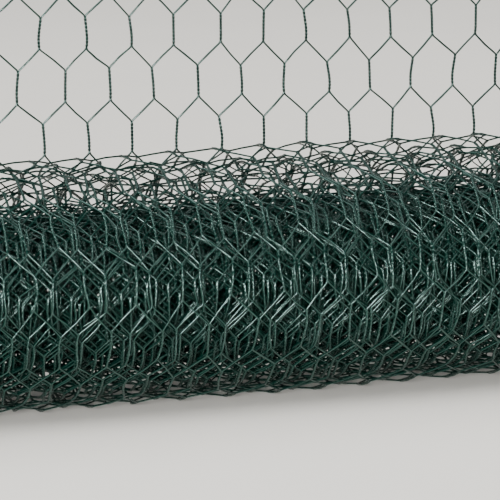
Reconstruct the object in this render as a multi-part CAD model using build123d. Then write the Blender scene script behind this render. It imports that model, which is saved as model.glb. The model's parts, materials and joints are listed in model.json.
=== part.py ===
from build123d import *
import os
from math import atan2, cos, pi, sqrt, tan

# A roll of hexagonal wire netting, lying on its side, with its outer end drawn off and standing up behind it.
# Millimetres. X runs along the roll, Y to the back, Z up. The origin is on the floor, under the roll's centre.

# Netting, as it is woven
NETTING_WIDTH = 500.0      # from selvedge to selvedge, which is the roll's length
NETTING_LENGTH = 10000.0   # of the whole piece, wound and drawn off
MESH_SIZE = 25.0           # between two twists side by side
TWIST_LENGTH = 17.0        # the straight side of a cell, where two wires are twisted together
CELL_RISE = 12.0           # what a slanting side climbs from one twist to the next
WIRE = 0.9                 # one wire, over its coating

# Roll
BORE_DIAMETER = 35.0       # left by the mandrel that the netting was wound on
TURN_PITCH = 1.25          # from one turn to the next: less than a twist's width, because the turns nest
TURN_STAGGER = 3.0         # how far every second turn lies back from the ends of the roll

# Free end
FREE_ROWS = 6              # rows of twists from where the netting leaves the roll to the cut
CUT_STUB = 8.5             # what is left of the twists that the cut went through
ROOT_HEIGHT = 4.0          # above the roll's axis, where the free end parts from the outermost turn

# Worked out from those
twist_width = 2 * WIRE
row_pitch = TWIST_LENGTH + CELL_RISE
columns = round(NETTING_WIDTH / MESH_SIZE)
mesh_pitch = NETTING_WIDTH / columns
free_height = FREE_ROWS * row_pitch + CUT_STUB
wound_length = NETTING_LENGTH - free_height
bore_radius = BORE_DIAMETER / 2
turns = round((sqrt(bore_radius ** 2 + TURN_PITCH * wound_length / pi) - bore_radius) / TURN_PITCH)
roll_radius = bore_radius + (turns - 1) * TURN_PITCH + twist_width


def end_outline(side):
    """One end of the roll from the bore outwards, as (distance along the roll, radius) points.
    Every second turn is a ridge, and those between lie back. The innermost and outermost have a flat rim."""
    points = []
    for turn in range(turns):
        turns_outside = turns - 1 - turn
        set_back = TURN_STAGGER * (turns_outside % 2)
        middle = bore_radius + twist_width / 2 + turn * TURN_PITCH
        points.append((side * (NETTING_WIDTH / 2 - set_back), middle))
    return [(points[0][0], bore_radius), *points, (points[-1][0], roll_radius)]


def wound_turns():
    """The wound part: one turned solid with its bore, and its turns showing on both ends."""
    with BuildPart() as roll:
        with BuildSketch(Plane.XZ):
            with BuildLine():
                Polyline(*end_outline(1), *reversed(end_outline(-1)), close=True)
            make_face()
        revolve(axis=Axis.X)
    return roll.part


def cell_opening():
    """The corners of the opening in one cell, between its two twists and four slanting wires."""
    slope = atan2(CELL_RISE, mesh_pitch / 2)
    side = mesh_pitch / 2 - WIRE
    tip = TWIST_LENGTH / 2 + CELL_RISE - WIRE / 2 / cos(slope)
    shoulder = tip - side * tan(slope)
    return [(side, shoulder), (0, tip), (-side, shoulder), (-side, -shoulder), (0, -tip), (side, -shoulder)]


def opening_centres():
    """Where the openings lie on the free end, each row half a mesh along from the row below it."""
    centres = []
    for row in range(FREE_ROWS + 1):
        height = row * row_pitch + TWIST_LENGTH / 2
        start = mesh_pitch / 2 * (row % 2) - NETTING_WIDTH / 2
        for column in range(columns + 1):
            centres.append((start + column * mesh_pitch, height))
    return centres


def free_end():
    """The netting that stands up behind the roll, one wire thick, with its wires fused where they meet.
    Its lowest twists come out of the outermost turn, and its top was cut through a row of twists."""
    standing = Plane(origin=(0, roll_radius, 0), x_dir=(1, 0, 0), z_dir=(0, -1, 0))
    height = free_height - ROOT_HEIGHT
    selvedge = (NETTING_WIDTH - twist_width) / 2
    upwards = (Align.CENTER, Align.MIN)
    with BuildPart() as netting:
        with BuildSketch(standing):
            with Locations((0, ROOT_HEIGHT)):
                Rectangle(NETTING_WIDTH, height, align=upwards)
            with Locations(*opening_centres()):
                Polygon(*cell_opening(), align=None, mode=Mode.SUBTRACT)
            with Locations((-selvedge, ROOT_HEIGHT), (selvedge, ROOT_HEIGHT)):
                Rectangle(twist_width, height, align=upwards)
        extrude(amount=WIRE)
    return netting.part


def netting_roll():
    """The whole piece of netting, moved up so that it lies on the floor."""
    return Pos(0, 0, roll_radius) * (wound_turns() + free_end())


os.makedirs("parts", exist_ok=True)
netting = netting_roll()
netting.label = "netting"
export_step(netting, "parts/netting.step")
print("turns", turns, "roll radius", roll_radius, "height", roll_radius + free_height)
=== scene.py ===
# %% [markdown]
# # A roll of chicken wire
# This lesson dresses a turned solid as a roll of hexagonal wire netting, with its outer end drawn off and
# standing up behind it. The solid comes packed and measured, so the lesson starts by reading its sizes,
# and whatever is made later takes its place from them.

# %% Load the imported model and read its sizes
import json
from math import pi, sin, tau

import bmesh
import bpy
import numpy as np
from mathutils import Matrix, Vector


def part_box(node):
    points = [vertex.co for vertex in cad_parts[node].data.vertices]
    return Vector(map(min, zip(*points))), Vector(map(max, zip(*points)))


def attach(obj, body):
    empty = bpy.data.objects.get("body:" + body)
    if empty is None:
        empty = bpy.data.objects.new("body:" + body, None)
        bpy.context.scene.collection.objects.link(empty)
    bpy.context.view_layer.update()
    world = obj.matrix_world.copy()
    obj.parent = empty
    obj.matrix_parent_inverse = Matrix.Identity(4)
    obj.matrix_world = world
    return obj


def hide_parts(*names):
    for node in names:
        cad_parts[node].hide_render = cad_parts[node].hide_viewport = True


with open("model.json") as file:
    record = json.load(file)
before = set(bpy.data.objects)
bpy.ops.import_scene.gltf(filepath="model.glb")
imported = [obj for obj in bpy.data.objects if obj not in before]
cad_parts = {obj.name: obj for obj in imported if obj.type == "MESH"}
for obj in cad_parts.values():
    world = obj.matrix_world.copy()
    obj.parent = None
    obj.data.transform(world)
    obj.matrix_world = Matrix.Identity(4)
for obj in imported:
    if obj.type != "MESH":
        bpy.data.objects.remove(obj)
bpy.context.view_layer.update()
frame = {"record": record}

MM = 0.001
low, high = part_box("netting")
bore = next(mount for mount in frame["record"]["mounts"] if mount["name"] == "roll_bore")

bore_radius = bore["dims"]["r_mm"]
axis_height = bore["pos_m"][2] / MM
roll_radius = axis_height    # because the roll lies on the floor
netting_width = (high.x - low.x) / MM
cut_height = high.z / MM - axis_height
print("roll", round(roll_radius, 2), "bore", bore_radius, "width", round(netting_width, 1))
print("cut", round(cut_height, 1), "above the axis")

# %% [markdown]
# ## The netting as it is woven
# Hexagonal netting is woven from wires that run its whole length. Every few millimetres each wire is
# twisted with its neighbour on one side, then it slants over and is twisted with the neighbour on the
# other side. So one cell's worth of wire is all there is to model: the twist and the four half-slants
# that lead to it. It is drawn flat, in millimetres, with x across the netting, y along it, and z out of it.

# %% Sizes of a cell, in millimetres
MESH_SIZE = 25.0
TWIST_LENGTH = 17.0
CELL_RISE = 12.0
WIRE = 0.9
STRAND_OFFSET = 0.19 * WIRE    # from the middle of a twist to the middle of each of its strands
STRAND = 1.3 * WIRE            # a strand's thickness, with the plastic that fills the twist

row_pitch = TWIST_LENGTH + CELL_RISE
columns = round(netting_width / MESH_SIZE)
slant = Vector((MESH_SIZE / 2, CELL_RISE, 0)).normalized()
slant_middle = Vector((MESH_SIZE / 4, TWIST_LENGTH / 2 + CELL_RISE / 2, 0))
print("rows every", row_pitch, "mm, and", columns, "cells across")

# %% [markdown]
# ## A wire is a ring that travels
# A wire could be a curve with a bevel, but a bevelled curve puts the same ring at every one of its
# points, and thousands of cells need their few faces where the bends are. Here a ring of vertices is made
# with `create_circle`, square to the way the wire runs, and the next operators carry it along. A ring of
# few sides, drawn inside the round of the wire, would look thin, so it is drawn a little larger.

# %% A ring square to the wire
def ring(bm, place, heading, sides, thickness=WIRE):
    """Makes a ring of vertices and gives back its edges."""
    matrix = Matrix.Translation(place) @ heading.to_track_quat("Z", "Y").to_matrix().to_4x4()
    radius = thickness / 2 * (pi / sides) / sin(pi / sides)
    made = bmesh.ops.create_circle(bm, segments=sides, radius=radius, matrix=matrix)
    return list(dict.fromkeys(edge for vert in made["verts"] for edge in vert.link_edges))


def verts_of(edges):
    return list(dict.fromkeys(vert for edge in edges for vert in edge.verts))


def turn_over(bm, verts):
    """Turns wires half over, about the line of the twist."""
    bmesh.ops.rotate(bm, verts=verts, cent=(0, 0, 0), matrix=Matrix.Rotation(pi, 3, "Y"))

# %% [markdown]
# ## The twist
# `spin` turns a ring about an axis, and its `dvec` also moves it a little at each step, so one call
# sweeps the whole helix. An odd number of half-turns brings each wire out on the other side, as weaving
# does. The coat went on after the weaving and fills the twist almost to a rod, so both wires are drawn
# thicker there, and closer than two bare wires could lie. The real twist has nine half-turns. On a rod
# this full they only show as shallow grooves, and where those are left to the material, the mesh needs no
# more than one or three.

# %% A helix swept by spin
def helix(bm, radius, half_turns, sides, steps, thickness=WIRE):
    """Sweeps a wire up a helix round the y axis, and gives back the edges of its first and last ring."""
    start = Vector((-radius, -TWIST_LENGTH / 2, 0))
    heading = Vector((0, TWIST_LENGTH / (pi * half_turns), radius)).normalized()
    first = ring(bm, start, heading, sides, thickness)
    swept = bmesh.ops.spin(bm, geom=verts_of(first) + first, cent=(0, 0, 0), axis=(0, 1, 0),
                           dvec=(0, TWIST_LENGTH / steps, 0), angle=pi * half_turns, steps=steps)
    last = [item for item in swept["geom_last"] if isinstance(item, bmesh.types.BMEdge)]
    return first, last

# %% [markdown]
# ## The slanting sides
# Each end of the helix is bridged to a ring in the middle of the slant, where the next cell's ring lies
# on exactly the same place, so that cells laid side by side can be welded. One more ring between them
# rounds the bend where the wire leaves the twist, and brings it back to its own thickness.

# %% Bridging out to the middle of a slant
BEND_OUT = Vector((0.4, 0.7, 0))                    # from the end of the twist to the bend
LEAVING = Vector((0, 1, 0.4)).normalized()          # the way that a strand heads as it leaves the twist


def bridge_out(bm, twist_ring, side, sides, offset, thickness):
    """Joins a twist's end ring to the middle of the slant: above it if side is 1, below it if it is -1."""
    corner = side * (Vector((offset, TWIST_LENGTH / 2, 0)) + BEND_OUT)
    halfway = (slant + LEAVING).normalized()
    middle = ring(bm, side * slant_middle, slant, sides, thickness)
    bend = ring(bm, corner, halfway, sides, thickness)
    bmesh.ops.bridge_loops(bm, edges=bend + middle)
    bmesh.ops.bridge_loops(bm, edges=twist_ring + bend)

# %% [markdown]
# ## A whole cell, in four versions
# The second wire of the twist is the first one turned half over about the twist's axis. The close version
# has all nine half-turns in its mesh, and is for the free end, where every twist stands out against the
# background and its beaded outline shows. A bright background eats into dark wires, so they are drawn a
# fifth thicker there. The fine version, of six-sided wire too, is for the outer turns. The plain one, of
# square wire with fewer steps, is for the turns seen through those. Deeper in, thousands of cells only
# show as a dark tangle, so a rough one of three-sided wire, with some forty faces, is enough. It is a
# third thicker, because there the wires of neighbouring turns lie against each other and let no light
# through between them.

# %% The cells
def finished(bm, name):
    """Makes a mesh of what was drawn, with its faces smooth and outwards."""
    bmesh.ops.recalc_face_normals(bm, faces=bm.faces)
    for face in bm.faces:
        face.smooth = True
    mesh = bpy.data.meshes.new(name)
    bm.to_mesh(mesh)
    bm.free()
    return mesh


def cell(name, sides, half_turns, steps, thickness=WIRE, offset=STRAND_OFFSET, strand=STRAND):
    """One cell's worth of wire. Offset and strand are where the wires in the twist lie, and how thick."""
    bm = bmesh.new()
    first, last = helix(bm, offset, half_turns, sides, steps, strand)
    bridge_out(bm, first, -1, sides, offset, thickness)
    bridge_out(bm, last, 1, sides, offset, thickness)
    other = bmesh.ops.duplicate(bm, geom=bm.verts[:] + bm.edges[:] + bm.faces[:])
    turn_over(bm, [item for item in other["geom"] if isinstance(item, bmesh.types.BMVert)])
    return finished(bm, name)


def triangles(mesh):
    return sum(len(face.vertices) - 2 for face in mesh.polygons)


REAL_HALF_TURNS = 9
VERSIONS = {
    "close": {"sides": 6, "half_turns": REAL_HALF_TURNS, "steps": 2 * REAL_HALF_TURNS,
              "thickness": 1.2 * WIRE, "offset": 0.42 * WIRE, "strand": 1.2 * WIRE},
    "fine": {"sides": 6, "half_turns": 3, "steps": 9},
    "plain": {"sides": 4, "half_turns": 1, "steps": 3},
    "rough": {"sides": 3, "half_turns": 1, "steps": 3, "thickness": 1.35 * WIRE},
}
cells = {version: cell(version, **settings) for version, settings in VERSIONS.items()}
print({version: triangles(mesh) for version, mesh in cells.items()}, "triangles a cell")
print({version: len(mesh.polygons) for version, mesh in cells.items()}, "faces a cell")

# %% [markdown]
# ## The selvedge
# At each edge of the netting the outermost wire has no neighbour to twist with. It is wrapped round a
# straight, thicker edge wire instead, and comes back. The wrap is the same helix on a wider radius, with
# whole turns, so that the wire leaves on the side where it came in. The edge wire is one ring swept
# straight, by a spin that moves and doesn't turn.

# %% The wrap and the edge wire of one row
SELVEDGE_WIRE = 1.2
WRAP_HALF_TURNS = 6
WRAP_SIDES = 4
EDGE_SIDES = 6
EDGE_STEPS = 4

wrap_radius = (SELVEDGE_WIRE + WIRE) / 2


def wrap(edge):
    """The wrap in one row: edge is 1 at the right selvedge and -1 at the left."""
    bm = bmesh.new()
    first, last = helix(bm, wrap_radius, WRAP_HALF_TURNS, WRAP_SIDES, 2 * WRAP_HALF_TURNS)
    bmesh.ops.bridge_loops(bm, edges=first + ring(bm, -slant_middle, slant, WRAP_SIDES))
    lower_half = set(bm.verts)
    middle = ring(bm, slant_middle, slant, WRAP_SIDES)
    turn_over(bm, [vert for vert in bm.verts if vert not in lower_half])
    bmesh.ops.bridge_loops(bm, edges=last + middle)
    if edge < 0:
        turn_over(bm, bm.verts)
    return finished(bm, "wrap")


def edge_wire():
    bm = bmesh.new()
    start = ring(bm, Vector((0, -row_pitch / 2, 0)), Vector((0, 1, 0)), EDGE_SIDES, SELVEDGE_WIRE)
    bmesh.ops.spin(bm, geom=verts_of(start) + start, cent=(0, 0, 0), axis=(0, 1, 0),
                   dvec=(0, row_pitch / EDGE_STEPS, 0), angle=0, steps=EDGE_STEPS)
    return finished(bm, "edge_wire")


wraps = {edge: wrap(edge) for edge in (-1, 1)}
straight = edge_wire()
print(triangles(wraps[1]), "triangles a wrap,", triangles(straight), "an edge wire")

# %% [markdown]
# ## Weaving by Array
# A row is a cell repeated across, which the Array modifier does with a constant offset. Its result is
# taken as a plain mesh straight away, because the netting is bent and wound next, and the copies must be
# real for that. An odd row lies half a mesh over from an even one, and so has one twist fewer, and a wrap
# at each end.

# %% Rows of netting
def repeated(mesh, count, step):
    """A new mesh of copies of a mesh in a line."""
    holder = bpy.data.objects.new("holder", mesh)
    bpy.context.scene.collection.objects.link(holder)
    array = holder.modifiers.new("copies", "ARRAY")
    array.count = count
    array.use_relative_offset = False
    array.use_constant_offset = True
    array.constant_offset_displace = step
    evaluated = holder.evaluated_get(bpy.context.evaluated_depsgraph_get())
    copies = bpy.data.meshes.new_from_object(evaluated)
    bpy.data.objects.remove(holder)
    return copies


def add_mesh(bm, mesh, place):
    """Adds a mesh to a bmesh, moved to its place."""
    known = len(bm.verts)
    bm.from_mesh(mesh)
    bm.verts.ensure_lookup_table()
    bmesh.ops.translate(bm, verts=bm.verts[known:], vec=place)


def row_of_netting(version, odd):
    """An even row has a twist in every column. An odd row has one on each line between two columns."""
    count = columns - 1 if odd else columns
    bm = bmesh.new()
    add_mesh(bm, repeated(cells[version], count, (MESH_SIZE, 0, 0)), ((1 - count) * MESH_SIZE / 2, 0, 0))
    for edge in (-1, 1):
        add_mesh(bm, straight, (edge * netting_width / 2, 0, 0))
        if odd:
            add_mesh(bm, wraps[edge], (edge * netting_width / 2, 0, 0))
    return finished(bm, "row")


rows = {(version, odd): row_of_netting(version, odd) for version in cells for odd in (False, True)}
print({key: triangles(mesh) for key, mesh in rows.items()}, "triangles a row")

# %% [markdown]
# ## Lengths of netting
# The netting is its even rows repeated along and its odd rows repeated along, both by Array again, two
# rows at a time. Then one weld joins every cell to its neighbours, and the wires run on without a break.

# %% Flat netting of any length
WELD = 0.01


def length_of_netting(version, first_row, row_count):
    """Flat netting from one row to another, welded where its cells meet."""
    bm = bmesh.new()
    for skipped in (0, 1):
        start = first_row + skipped
        count = (row_count - skipped + 1) // 2
        along = repeated(rows[version, start % 2 == 1], count, (0, 2 * row_pitch, 0))
        add_mesh(bm, along, (0, start * row_pitch + TWIST_LENGTH / 2, 0))
    bmesh.ops.remove_doubles(bm, verts=bm.verts, dist=WELD)
    return bm

# %% [markdown]
# ## Cut ends
# The netting was snipped straight through a row of twists. `bisect_plane` makes the cut, the open ends
# are filled, and a small inset in each gives the plastic coat and the steel core their own faces.

# %% Snipping the netting across
COAT = 0.1


def snip(bm, height, keep):
    """Cuts the netting across. It keeps what is below the cut if keep is -1, and above it if keep is 1."""
    everything = bm.verts[:] + bm.edges[:] + bm.faces[:]
    cut = bmesh.ops.bisect_plane(bm, geom=everything, plane_co=(0, height, 0), plane_no=(0, -keep, 0),
                                 clear_outer=True)
    rims = [item for item in cut["geom_cut"] if isinstance(item, bmesh.types.BMEdge)]
    caps = bmesh.ops.edgeloop_fill(bm, edges=rims)["faces"]
    for cap in caps:
        cap.normal_update()
        if cap.normal.y * keep > 0:
            cap.normal_flip()
    bmesh.ops.inset_individual(bm, faces=caps, thickness=COAT)
    for cap in caps:
        cap.material_index = 1
    print(len(caps), "wire ends at", round(height, 1), "mm along the netting")

# %% [markdown]
# ## Never quite regular
# No two cells of real netting are alike: each junction sits a millimetre or so out of place, and handling
# moves it more. Random numbers on a coarse grid, about one for each junction, are read off smoothly at
# every vertex. The value depends only on where a point lies on the flat netting, so pieces that meet
# still meet afterwards. Read off a coarser grid, they also make the free end billow a little.

# %% Smooth random drift over the netting
GRID_STEP = (MESH_SIZE / 2, row_pitch / 2)
LONGEST = 10000.0                       # more netting than is ever wound
ACROSS, ACROSS_MORE = 1.3, 0.5          # how far junctions drift, and how much further in the roll
ALONG, ALONG_MORE = 0.8, 0.6
OUT = 0.35                              # out of the netting
BILLOW = 1.2                            # of the free end, out of it too
BILLOW_CELLS = 5.0                      # how much coarser its grid is


def drift(points, seed, coarser=1.0):
    """A random value from -1 to 1 at each point, smooth over a grid of junctions."""
    across = (points[:, 0] + netting_width) / (GRID_STEP[0] * coarser)
    along = (points[:, 1] + LONGEST) / (GRID_STEP[1] * coarser)
    columns_kept = int(2 * netting_width / GRID_STEP[0]) + 2
    rows_kept = int((LONGEST + netting_width) / GRID_STEP[1]) + 2
    grid = np.random.default_rng(seed).uniform(-1, 1, (columns_kept, rows_kept))
    column, row = across.astype(int), along.astype(int)
    a, b = across - column, along - row
    a, b = a * a * (3 - 2 * a), b * b * (3 - 2 * b)
    near = grid[column, row] * (1 - a) + grid[column + 1, row] * a
    far = grid[column, row + 1] * (1 - a) + grid[column + 1, row + 1] * a
    return near * (1 - b) + far * b


def loosened(points):
    """Moves the points of flat netting as handling does, more in the roll than in the free end."""
    in_roll = np.clip(-points[:, 1] / (2 * row_pitch), 0, 1)
    billow = (1 - in_roll) * BILLOW * drift(points, seed=14, coarser=BILLOW_CELLS)
    moved = points.copy()
    moved[:, 0] += (ACROSS + ACROSS_MORE * in_roll) * drift(points, seed=11)
    moved[:, 1] += (ALONG + ALONG_MORE * in_roll) * drift(points, seed=12)
    moved[:, 2] += OUT * drift(points, seed=13) + billow
    return moved

# %% [markdown]
# ## The spiral
# Blender's Curve modifier could wind the netting, but it can't let each turn wander sideways or settle
# against the one below. So the winding is worked out for every vertex: how far along the netting it is
# gives its turn, the turn gives the radius and the angle, and its height out of the netting is added to
# the radius. The outer turns are looser than the inner ones, and at the bottom the weight of the roll
# presses them together. The tight turns inside have sunk a little, so that under the top there is a gap,
# wider towards the left, and the five or six turns above it hang into it.

# %% How far out the turns lie
TURN_PITCH = 1.25           # between two turns where nothing is loose
LOOSE_BY = 11.0             # how much more room the outer turns take than tight ones would
LOOSE_TURNS = 4.1           # how many turns share most of that room
TIGHT_UNTIL = 0.77          # turns from the free end to where they start to be loose
PRESSED_AT_BOTTOM = 0.9     # share of the room that is gone at the bottom
PRESSED_AT_TOP = 0.25       # and at the top
SUNK_BY = 12.0              # how far the tight turns have sunk under the top
SUNK_MORE_LEFT = 5.0        # more than that to the left, and less to the right
SUNK_REACH = 160.0          # how far along the roll that changes
SUNK_FROM = 5.9             # turns from the free end to the gap that this leaves
SUNK_WITHIN = 0.8           # turns over which the gap is spread
FRONT_KEPT = 1.6            # the larger, the more of the front has its turns parallel

outer_radius = roll_radius - WIRE
inner_radius = bore_radius + WIRE
turns = round((outer_radius - inner_radius) / TURN_PITCH) + 1


def radius_at(turn, upwards=0.0, across=0.0):
    """The radius of the netting's middle, after so many turns from where the free end leaves the roll.
    Upwards is 1 at the top of the roll and -1 at the bottom."""
    from_front = np.abs(upwards) ** FRONT_KEPT
    loose = LOOSE_BY * (1 - np.where(upwards < 0, PRESSED_AT_BOTTOM, PRESSED_AT_TOP) * from_front)
    deepest = SUNK_BY - SUNK_MORE_LEFT * np.sin(across / SUNK_REACH)
    sunk = np.where(upwards < 0, 0, deepest * from_front)
    slack = loose * (1 - np.exp(-np.maximum(turn - TIGHT_UNTIL, 0) / LOOSE_TURNS))
    slack = slack + sunk / (1 + np.exp((SUNK_FROM - turn) / SUNK_WITHIN))
    tight = (outer_radius - inner_radius - loose - sunk) * turn / turns
    return outer_radius - slack - tight


print(turns, "turns, at the front", radius_at(np.arange(0.5, 9)).round(1).tolist(), "and so on")

# %% [markdown]
# ## Rows that nest
# At the front the turns nest: the rows of each lie only a little off those of the turn below it, and so
# do its columns, so that slanting wires run side by side in groups. So every turn takes a whole number of
# rows and a small part of one. Further in, the rows and columns lie anyhow.

# %% Which row lies where
STRETCH = 1.04              # of the netting, as it was wound
ROWS_TO_FRONT = 6.40        # from where the free end leaves the roll to its front
NESTED_TURNS = 6
NESTED_OFF = (0.06, 0.16)   # the part of a row by which a turn is off the one below, at least and at most
FIRST_OFF = 0.07

nesting = np.random.default_rng(5)
front_turns = np.arange(0.5, turns + 1)
rows_between = np.round(tau * radius_at(front_turns[:-1] + 0.5) / (row_pitch * STRETCH))
offsets = nesting.uniform(*NESTED_OFF, turns)
offsets[0] = FIRST_OFF
offsets[NESTED_TURNS:] += nesting.uniform(0, 1, turns - NESTED_TURNS)
rows_at_front = ROWS_TO_FRONT + np.concatenate([[0], np.cumsum(rows_between + offsets)])
turn_marks = np.concatenate([[0], front_turns])
row_marks = np.concatenate([[0], rows_at_front])
rows_wound = np.interp(turns, turn_marks, row_marks)
print("rows between fronts", rows_between.astype(int).tolist(), "rows in all", round(rows_wound, 1))
print("length wound", round(rows_wound * row_pitch), "mm")

# %% [markdown]
# ## Turns that wander sideways
# A turn is never wound exactly over the one below it. It crosses the front a few millimetres to one side,
# and the back to another. The first few turns show best, so their places at the front are chosen, and the
# rest are random. Skipping some draws first picks one of many equally likely rolls.

# %% How far each turn lies sideways
SIDEWAYS_FIRST = (-2.5, 6.2, 2.5, 5.0, 2.4, -0.4)    # where the free end leaves, then at each turn's front
SIDEWAYS_FURTHER_IN = 6.0
SIDEWAYS_AT_BACK = 5.0
FIRST_AT_BACK = -2.0
SKIPPED_DRAWS = 57

nesting.bit_generator.advance(SKIPPED_DRAWS)
further_in = len(turn_marks) - len(SIDEWAYS_FIRST)
drawn = nesting.uniform(-SIDEWAYS_FURTHER_IN, SIDEWAYS_FURTHER_IN, further_in)
front_values = np.concatenate([SIDEWAYS_FIRST, drawn])
back_marks = np.arange(0.5, turns + 1, 0.5)
drawn = nesting.uniform(-SIDEWAYS_AT_BACK, SIDEWAYS_AT_BACK, len(back_marks))
back_values = np.where(back_marks % 1 == 0, drawn, 0)
back_values[1] = FIRST_AT_BACK
print("sideways", front_values.round(1).tolist())

# %% [markdown]
# ## Dents and humps
# A hand-wound roll has soft dents that all its turns share, because each is laid on the one below. Its
# first turn stands off a little at the top, more at one place along the roll than at another. And no turn
# was wound quite square, so that the rows run ahead at one end and fall behind at the other.

# %% How the turns are pushed out of place
BROAD, BROAD_REACH, BROAD_BEND, BROAD_START = 0.35, 61, 2.0, 0.8    # depth, reach, sway round the roll
TIGHT, TIGHT_REACH, TIGHT_BEND, TIGHT_START = 0.3, 23, 3.0, 2.1
HUMP = 1.7                  # what the wave along the top adds at most
HUMP_EVEN = 1.1             # what the whole top has besides, in times that wave
HUMP_TURNS = 0.5
HUMP_LENGTH = 420.0
HUMP_PLACE = -70.0
AHEAD, AHEAD_MORE = 3.4, 4.2
AHEAD_REACH, AHEAD_FROM = 65.0, -20.0
AHEAD_EVEN = 0.75           # what every turn has of it: one turn has the rest more, the next has it less
AHEAD_SOON = 3              # it has its full size after a third of a turn


def ripple(across, angle):
    """How far the turns are pushed in and out together at one place on the roll."""
    broad = np.sin(across / BROAD_REACH + BROAD_BEND * np.sin(angle) + BROAD_START)
    tight = np.sin(across / TIGHT_REACH + TIGHT_BEND * np.cos(angle) + TIGHT_START)
    return BROAD * broad + TIGHT * tight


def hump(across, turn):
    """How far the first turn stands off at the top."""
    near_top = np.clip(1 - np.abs(turn - TIGHT_UNTIL) / HUMP_TURNS, 0, 1)
    wave = np.sin(tau * (across - HUMP_PLACE) / HUMP_LENGTH)
    return near_top ** 2 * (3 - 2 * near_top) * HUMP * (HUMP_EVEN + wave)


def skew(across, turn):
    """How far ahead the rows are at one place along the roll."""
    ahead = AHEAD + AHEAD_MORE * np.sin((across - AHEAD_FROM) / AHEAD_REACH)
    even = AHEAD_EVEN + (1 - AHEAD_EVEN) * np.cos(pi * (turn - 0.5))
    return ahead * even * np.clip(AHEAD_SOON * turn, 0, 1)

# %% [markdown]
# ## Winding every vertex
# All this comes together for each point of the flat netting. Where two turns have room between them, the
# outer one is crumpled too, most at the top, where it hangs. The free end needs no case of its own: along
# it no turn has passed yet, so it stays at the outer radius and simply rises.

# %% From flat netting to the roll
CRUMPLED = 0.8              # the part of the room between two turns that crumples fill
MOST_ROOM = 4.0
CRUMPLED_FROM = 1.1         # turns from the free end
CRUMPLED_AT_FRONT = 0.4     # of what is crumpled at the top
SETTLED_AFTER = 0.15        # turns from the free end to where it lies on the roll


def wound(points):
    """Takes points of flat netting, in millimetres, to the roll or to the free end, in metres."""
    across, along, out = points.T
    turn_if_square = np.interp(-along / row_pitch, row_marks, turn_marks)
    turn = np.interp((skew(across, turn_if_square) - along) / row_pitch, row_marks, turn_marks)
    angle = tau * turn
    upwards = -np.sin(angle)
    laid = radius_at(turn, upwards, across)
    room = np.minimum(laid - radius_at(turn + 1, upwards, across), MOST_ROOM)
    hanging = np.clip(CRUMPLED_AT_FRONT + (1 - CRUMPLED_AT_FRONT) * upwards, 0, 1)
    crumpled = CRUMPLED * np.clip(turn - CRUMPLED_FROM, 0, 1) * hanging
    crumple = crumpled * room * drift(points, seed=15)
    laid = laid + np.clip(turn / SETTLED_AFTER, 0, 1) * ripple(across, angle)
    radius = np.minimum(laid + crumple, outer_radius) + hump(across, turn) - out
    x = across + np.interp(turn, turn_marks, front_values) + np.interp(turn, back_marks, back_values)
    y = radius * np.cos(angle)
    z = axis_height - radius * np.sin(angle) + np.maximum(along, 0)
    return np.stack([x, y, z], axis=1) * MM

# %% [markdown]
# ## The pieces
# The netting is one length of wire cloth, but it is made in pieces that each stay light enough to handle:
# the free end, the two outer turns one by one, and the rest in five lots. Each starts on the row where
# the last one ended. Where a point lay on the flat netting is kept with it as an attribute, for the
# material to read.

# %% Making the pieces of netting
def row_at(turn):
    return int(round(np.interp(turn, turn_marks, row_marks)))


def netting_piece(name, version, first_row, row_count, cut_at=None, keep=-1):
    """One piece of the netting, wound and in its place."""
    bm = length_of_netting(version, first_row, row_count)
    if cut_at is not None:
        snip(bm, cut_at, keep)
    mesh = bpy.data.meshes.new(name)
    bm.to_mesh(mesh)
    bm.free()
    flat = np.empty(3 * len(mesh.vertices), np.float32)
    mesh.vertices.foreach_get("co", flat)
    woven = mesh.attributes.new("woven", "FLOAT_VECTOR", "POINT")
    woven.data.foreach_set("vector", flat)
    placed = wound(loosened(flat.reshape(-1, 3).astype(float)))
    mesh.vertices.foreach_set("co", placed.astype(np.float32).ravel())
    mesh.update()
    piece = bpy.data.objects.new(name, mesh)
    bpy.context.scene.collection.objects.link(piece)
    print(name, row_count, "rows,", triangles(mesh), "triangles")
    return piece


LOTS = [
    ("outer_turn_1", "fine", 0, 1),
    ("outer_turn_2", "fine", 1, 2),
    ("middle_turns_1", "plain", 2, 6),
    ("middle_turns_2", "plain", 6, 9),
    ("inner_turns_1", "rough", 9, 18),
    ("inner_turns_2", "rough", 18, 28),
]
free_rows = int(cut_height // row_pitch) + 1
pieces = [netting_piece("free_end", "close", 0, free_rows, cut_height, -1)]
for name, version, first_turn, last_turn in LOTS:
    top_row, bottom_row = -row_at(first_turn), -row_at(last_turn)
    pieces.append(netting_piece(name, version, bottom_row, top_row - bottom_row))
last_row = -int(rows_wound)
core_rows = bottom_row - last_row
inner_cut = last_row * row_pitch + TWIST_LENGTH / 2
pieces.append(netting_piece("core_turns", "rough", last_row, core_rows, inner_cut, 1))
print(sum(triangles(piece.data) for piece in pieces), "triangles in all")

# %% [markdown]
# ## Colours and nodes
# A shader wants linear colours, and people know colours as sRGB hex values, so one function turns the one
# into the other. Another adds a node with its settings and its links in a single call, which keeps a
# material short enough to read at a glance.

# %% Helpers for materials
def linear(hex_colour):
    """Turns an sRGB hex value into the linear colour that a shader takes."""
    parts = [int(hex_colour[place:place + 2], 16) / 255 for place in (1, 3, 5)]
    return [*(part / 12.92 if part <= 0.04045 else ((part + 0.055) / 1.055) ** 2.4 for part in parts), 1.0]


def add_node(tree, kind, settings, inputs):
    """Adds a node with its settings. Each input gets a value, or a link from a socket or from a node's
    first socket."""
    made = tree.nodes.new("ShaderNode" + kind)
    for key, value in settings.items():
        setattr(made, key, value)
    for socket, value in inputs.items():
        if isinstance(value, bpy.types.Node):
            value = value.outputs[0]
        if isinstance(value, bpy.types.NodeSocket):
            tree.links.new(value, made.inputs[socket])
        else:
            made.inputs[socket].default_value = value
    return made


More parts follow.
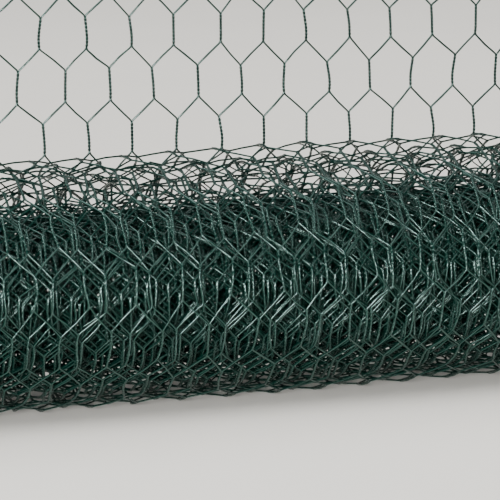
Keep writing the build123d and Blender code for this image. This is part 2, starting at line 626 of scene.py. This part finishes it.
def new_material(name):
    """A material with an empty tree, and the place of a point on the object."""
    material = bpy.data.materials.new(name)
    material.use_nodes = True
    tree = material.node_tree
    tree.nodes.clear()
    return material, tree, tree.nodes.new("ShaderNodeTexCoord").outputs["Object"]

# %% [markdown]
# ## Grooves in the twists
# The coat sinks into the grooves between the two strands of a twist, and they break every highlight into
# beads. They are a double helix, easily found from a point's place on the flat netting: twice its angle
# round the twist, plus its way along it, is the phase of a wave. The strands are round, so only the lower
# half of that wave is used, and past the ends of the twist the wires are smooth.

# %% The height of the coat in a twist
def strands(tree):
    """How high the coat stands in a twist: 1 on its two strands, and down to 0 in the grooves."""
    woven = add_node(tree, "Attribute", {"attribute_name": "woven"}, {}).outputs["Vector"]
    place = add_node(tree, "SeparateXYZ", {}, {"Vector": woven}).outputs
    along = add_node(tree, "Math", {"operation": "FLOORED_MODULO"}, {0: place["Y"], 1: row_pitch})
    shifted = add_node(tree, "Math", {"operation": "ADD"}, {0: place["X"], 1: MESH_SIZE / 4})
    nearest = add_node(tree, "Math", {"operation": "FLOORED_MODULO"}, {0: shifted, 1: MESH_SIZE / 2})
    sideways = add_node(tree, "Math", {"operation": "SUBTRACT"}, {0: nearest, 1: MESH_SIZE / 4})
    angle = add_node(tree, "Math", {"operation": "ARCTAN2"}, {0: place["Z"], 1: sideways})
    twice = add_node(tree, "Math", {"operation": "MULTIPLY"}, {0: angle, 1: 2.0})
    beads = tau * REAL_HALF_TURNS / TWIST_LENGTH
    rising = add_node(tree, "Math", {"operation": "MULTIPLY"}, {0: along, 1: beads})
    phase = add_node(tree, "Math", {"operation": "ADD"}, {0: twice, 1: rising})
    wave = add_node(tree, "Math", {"operation": "COSINE"}, {0: phase})
    height = add_node(tree, "MapRange", {}, {"Value": wave, "From Min": -1.0, "From Max": 0.0})
    beyond = add_node(tree, "Math", {"operation": "GREATER_THAN"}, {0: along, 1: TWIST_LENGTH})
    return add_node(tree, "Math", {"operation": "MAXIMUM"}, {0: height, 1: beyond})

# %% [markdown]
# ## PVC coat
# The netting is woven from galvanised wire, and then PVC is fused onto it. The coat is smooth and glossy,
# with faint waves where it ran, so its highlights are sharp but never quite straight. The green is deep
# and a little blue. The IOR is about 1.53, like that of most PVC. The waves are some 1.5 mm long, which
# is as fine as shows in the picture.

# %% PVC-coated wire
WAVE_SIZE = 1.5 * MM
WAVE_DEPTH = 0.12 * MM
GROOVE_DEPTH = 0.3 * MM
PATCH_SIZE = 14 * MM
GREEN, PALER_GREEN = "#021411", "#04221b"
SHINE = "#ddfff7"
PVC_IOR = 1.53
GLOSSIEST, LEAST_GLOSSY = 0.11, 0.21


def pvc_coated_wire():
    material, tree, place = new_material("fused_pvc_coat_green")
    patches = add_node(tree, "TexNoise", {}, {"Vector": place, "Scale": 1 / PATCH_SIZE, "Detail": 3.0})
    waves = add_node(tree, "TexNoise", {}, {"Vector": place, "Scale": 1 / WAVE_SIZE, "Detail": 1.0})
    colour = add_node(tree, "Mix", {"data_type": "RGBA"}, {
        "Factor": patches, "A": linear(GREEN), "B": linear(PALER_GREEN)})
    gloss = add_node(tree, "MapRange", {}, {
        "Value": patches, "From Min": 0.3, "From Max": 0.7, "To Min": GLOSSIEST, "To Max": LEAST_GLOSSY})
    waved = add_node(tree, "Bump", {}, {"Height": waves, "Distance": WAVE_DEPTH})
    grooved = add_node(tree, "Bump", {}, {
        "Height": strands(tree), "Distance": GROOVE_DEPTH, "Normal": waved})
    shader = add_node(tree, "BsdfPrincipled", {}, {
        "Base Color": colour.outputs["Result"], "Roughness": gloss, "Normal": grooved,
        "IOR": PVC_IOR, "Specular Tint": linear(SHINE)})
    add_node(tree, "OutputMaterial", {}, {"Surface": shader})
    return material


coat = pvc_coated_wire()
print("material", coat.name)

# %% [markdown]
# ## Snipped steel
# Where the netting was cut, the steel inside the coat shows as a small bright disc. Cutters shear the
# wire, which leaves its face dull and finely torn, so its roughness varies on a scale of a tenth of a
# millimetre.

# %% The cut ends' steel
GRAIN_SIZE = 0.15 * MM
STEEL = "#b7babd"
SHEARED, TORN = 0.25, 0.5


def cut_steel():
    material, tree, place = new_material("galvanised_steel_wire_snipped")
    grain = add_node(tree, "TexNoise", {}, {"Vector": place, "Scale": 1 / GRAIN_SIZE, "Detail": 2.0})
    gloss = add_node(tree, "MapRange", {}, {"Value": grain, "To Min": SHEARED, "To Max": TORN})
    shader = add_node(tree, "BsdfPrincipled", {}, {
        "Base Color": linear(STEEL), "Metallic": 1.0, "Roughness": gloss})
    add_node(tree, "OutputMaterial", {}, {"Surface": shader})
    return material


core = cut_steel()
for piece in pieces:
    piece.data.materials.append(coat)
    piece.data.materials.append(core)
    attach(piece, "root")
    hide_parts("netting")
print("material", core.name, "on the cut ends of", len(pieces), "pieces")

# %% [markdown]
# ## Floor
# A plain pale floor shows the netting best. It is matt, like painted board, and its tone varies so
# slightly over a few hands' width that it doesn't look like a flat fill.

# %% The floor
FLOOR_PATCH = 0.3
FLOOR_REACH = 20.0
FLOOR_TONES = ("#c9c6bf", "#cfccc5")
MATT = 0.9


def floor_paint():
    material, tree, place = new_material("matt_floor_paint")
    clouds = add_node(tree, "TexNoise", {}, {"Vector": place, "Scale": 1 / FLOOR_PATCH, "Detail": 2.0})
    colour = add_node(tree, "Mix", {"data_type": "RGBA"}, {
        "Factor": clouds, "A": linear(FLOOR_TONES[0]), "B": linear(FLOOR_TONES[1])})
    shader = add_node(tree, "BsdfPrincipled", {}, {
        "Base Color": colour.outputs["Result"], "Roughness": MATT})
    add_node(tree, "OutputMaterial", {}, {"Surface": shader})
    return material


bm = bmesh.new()
bmesh.ops.create_grid(bm, x_segments=1, y_segments=1, size=FLOOR_REACH)
mesh = bpy.data.meshes.new("floor")
bm.to_mesh(mesh)
bm.free()
floor = bpy.data.objects.new("floor", mesh)
bpy.context.scene.collection.objects.link(floor)
floor.data.materials.append(floor_paint())
print("floor", floor.data.materials[0].name)

# %% [markdown]
# ## Light
# A straight wire shines where it lies square to the middle of the way between the light and the camera.
# The key light is low and to the left of the camera, so the twists at the front of the roll shine in a
# band, with the slanting wires that lean one way above it and those that lean the other way below. A
# wide, soft light from high above the camera does for a sky. It also puts the floor behind the roll in
# the shade, where pale specks would show through the netting. A weak one behind lights the top of the
# roll.

# %% Three lights and a dim world
WORLD_LIGHT = 0.12
WORLD_COLOUR = "#f2f4f6"


def place_light(name, kind, azimuth, elevation, distance, strength):
    """A light aimed at the middle of the roll. Azimuth 0 is in front of it, and more is to its right."""
    light = bpy.data.lights.new(name, kind)
    light.energy = strength
    lamp = bpy.data.objects.new(name, light)
    bpy.context.scene.collection.objects.link(lamp)
    bearing, rise = np.radians(azimuth), np.radians(elevation)
    towards = Vector((np.sin(bearing) * np.cos(rise), -np.cos(bearing) * np.cos(rise), np.sin(rise)))
    lamp.location = Vector((0, 0, axis_height * MM)) + towards * distance
    lamp.rotation_mode = "QUATERNION"
    lamp.rotation_quaternion = towards.to_track_quat("Z", "Y")
    print(name, "light at", [round(value, 2) for value in lamp.location])
    return light


place_light("key", "AREA", azimuth=-25, elevation=9.5, distance=2.2, strength=142).size = 0.6
place_light("sky", "SUN", azimuth=-45, elevation=62, distance=3.0, strength=4.8).angle = np.radians(50)
place_light("back", "AREA", azimuth=150, elevation=65, distance=3.0, strength=55).size = 2.0

world = bpy.data.worlds.new("studio")
bpy.context.scene.world = world
world.use_nodes = True
world.node_tree.nodes["Background"].inputs["Color"].default_value = linear(WORLD_COLOUR)
world.node_tree.nodes["Background"].inputs["Strength"].default_value = WORLD_LIGHT

# %% [markdown]
# ## Camera
# The camera was found from the photo itself: the rows and columns of the free end give its direction and
# distance, and the outline of the roll its height. It is a long lens, a little to the left, looking
# slightly down and rolled by half a degree.

# %% The camera
FOCAL_PIXELS, IMAGE_WIDTH = 2200, 500
SENSOR_WIDTH = 36
FARTHEST = 100
YAW, PITCH, ROLL = np.radians([15.91, 10.9, -0.52])
CAMERA_PLACE = Vector((-331.8, -1105.1, 298.65)) * MM

camera = bpy.data.cameras.new("camera")
camera.sensor_width = SENSOR_WIDTH
camera.lens = SENSOR_WIDTH * FOCAL_PIXELS / IMAGE_WIDTH
camera.clip_end = FARTHEST
viewer = bpy.data.objects.new("camera", camera)
bpy.context.scene.collection.objects.link(viewer)
bpy.context.scene.camera = viewer

ahead = Vector((np.sin(YAW) * np.cos(PITCH), np.cos(YAW) * np.cos(PITCH), -np.sin(PITCH)))
level = Vector((np.cos(YAW), -np.sin(YAW), 0))
above = level.cross(ahead)
rightwards = np.cos(ROLL) * level + np.sin(ROLL) * above
upwards = np.cos(ROLL) * above - np.sin(ROLL) * level
turned = Matrix((rightwards, upwards, -ahead)).transposed().to_4x4()
viewer.matrix_world = Matrix.Translation(CAMERA_PLACE) @ turned
print("lens", round(camera.lens, 1), "mm")
